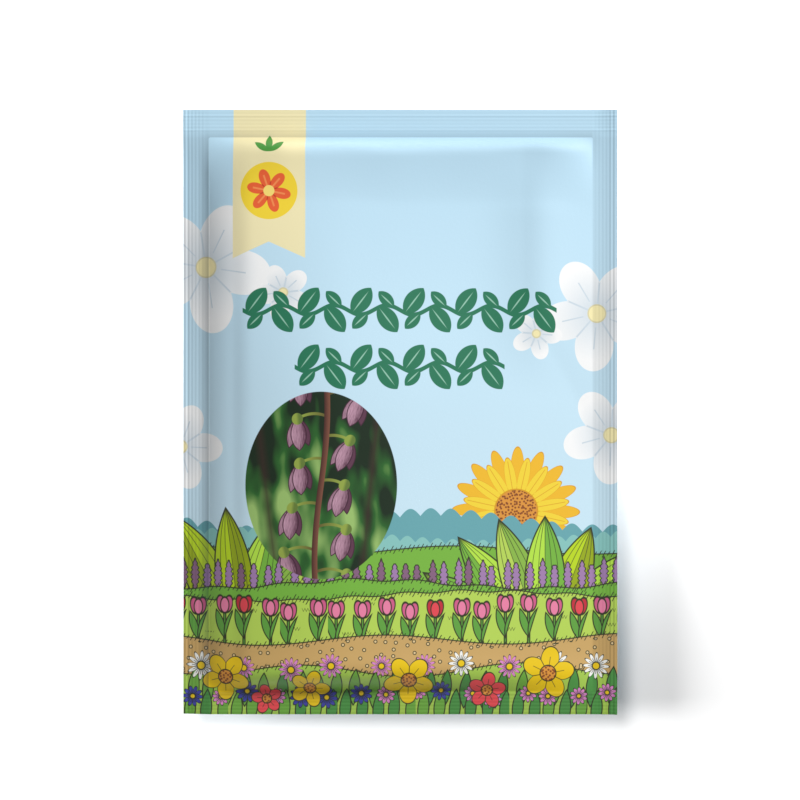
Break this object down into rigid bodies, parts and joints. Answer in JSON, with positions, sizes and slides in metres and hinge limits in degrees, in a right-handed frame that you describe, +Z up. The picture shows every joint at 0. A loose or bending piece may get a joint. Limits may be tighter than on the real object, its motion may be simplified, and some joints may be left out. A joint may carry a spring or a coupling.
{
  "type": "flower bulb packet",
  "caption": "Flat heat-sealed film packet with crimped seals on all four sides, puffed in the middle, holding loose flower bulbs.",
  "frame": {"origin": "on the surface that the packet lies on, under the middle of its outline", "axes": "+Z up out of the printed front, +Y towards the packet's top edge, +X to its right"},
  "size_m": [0.15, 0.209, 0.022],
  "materials": {
    "front_film": "satin",
    "back_film": "satin",
    "bulb_skin": "matte"
  },
  "bodies": {
    "root": {"front_web": "front_film", "back_web": "back_film", "bulb_1": "bulb_skin", "bulb_2": "bulb_skin", "bulb_3": "bulb_skin"}
  },
  "joints": []
}
